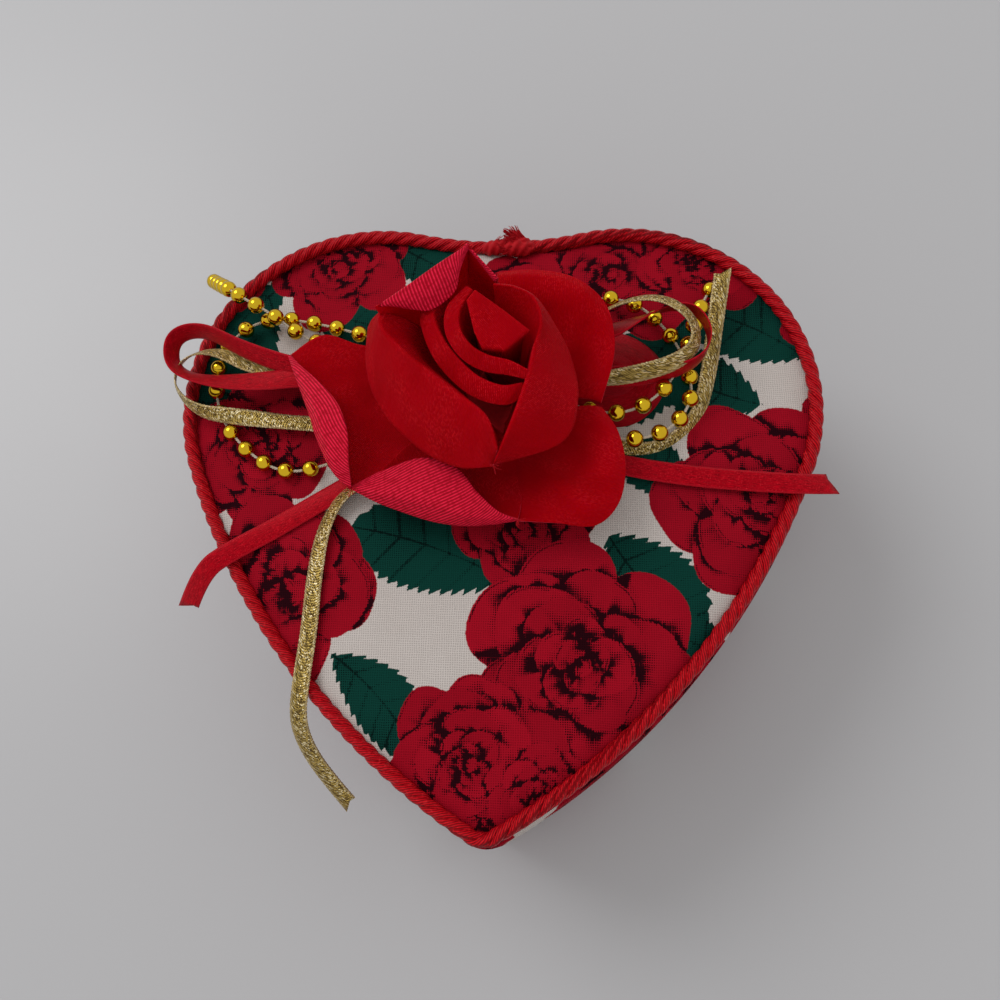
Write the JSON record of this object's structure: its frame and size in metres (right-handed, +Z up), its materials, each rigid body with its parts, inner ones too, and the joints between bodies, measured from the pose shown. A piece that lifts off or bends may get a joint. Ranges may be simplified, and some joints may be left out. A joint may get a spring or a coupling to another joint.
{
  "type": "heart-shaped trinket box",
  "caption": "Fabric-covered heart-shaped box for trinkets with a padded lid on a cloth hinge, edged with twisted cord and topped with a cloth rose, ribbon bows and bead strings.",
  "frame": {"origin": "centre of the heart-shaped underside, on the surface that the box stands on", "axes": "+Z up; the heart's tip points along -Y and its cleft, where the lid is hinged, along +Y; X across the lobes"},
  "size_m": [0.1311, 0.1241, 0.0851],
  "materials": {
    "felt": "matte",
    "card": "matte",
    "printed_cotton": "woven, printed with roses and leaves",
    "satin_lining": "satin",
    "hinge_cloth": "matte woven tape",
    "wadding": "soft",
    "cord_satin": "satin, twisted",
    "rose_cloth": "fine-ribbed satin",
    "red_satin": "satin",
    "gold_ribbon": "metallic weave",
    "gold_beads": "metallised"
  },
  "bodies": {
    "box": {"base_felt": "felt", "base_board": "card", "wall_board": "card", "wall_cover": "printed_cotton", "wall_lining": "satin_lining", "floor_pad": "satin_lining", "hinge_cloth_base": "hinge_cloth"},
    "lid": {"lid_board": "card", "lid_pad": "wadding", "lid_cover": "printed_cotton", "lid_lining": "satin_lining", "hinge_cloth_lid": "hinge_cloth", "lid_cord": "cord_satin", "cord_tuft": "cord_satin", "rose_heel": "felt", "petal_left": "rose_cloth", "petal_front_left": "rose_cloth", "petal_front_right": "rose_cloth", "petal_right": "rose_cloth", "petal_back": "rose_cloth", "cup_left": "rose_cloth", "cup_right": "rose_cloth", "wrap_left": "rose_cloth", "wrap_right": "rose_cloth", "rose_bud": "rose_cloth", "red_loop_left": "red_satin", "red_loop_right": "red_satin", "red_fold_right": "red_satin", "red_tail_left": "red_satin", "red_tail_right": "red_satin", "gold_loop_left": "gold_ribbon", "gold_loop_right": "gold_ribbon", "gold_tail_left": "gold_ribbon", "gold_tail_right": "gold_ribbon", "bead_loop_left": "gold_beads", "bead_loop_right": "gold_beads", "bead_tail_left": "gold_beads", "bead_tail_right": "gold_beads"}
  },
  "joints": [
    {"name": "lid_hinge", "type": "hinge", "parent": "box", "child": "lid", "pos_m": [0, 0.06179, 0.048], "axis": [-1, 0, 0], "range_deg": [0, 110]}
  ]
}
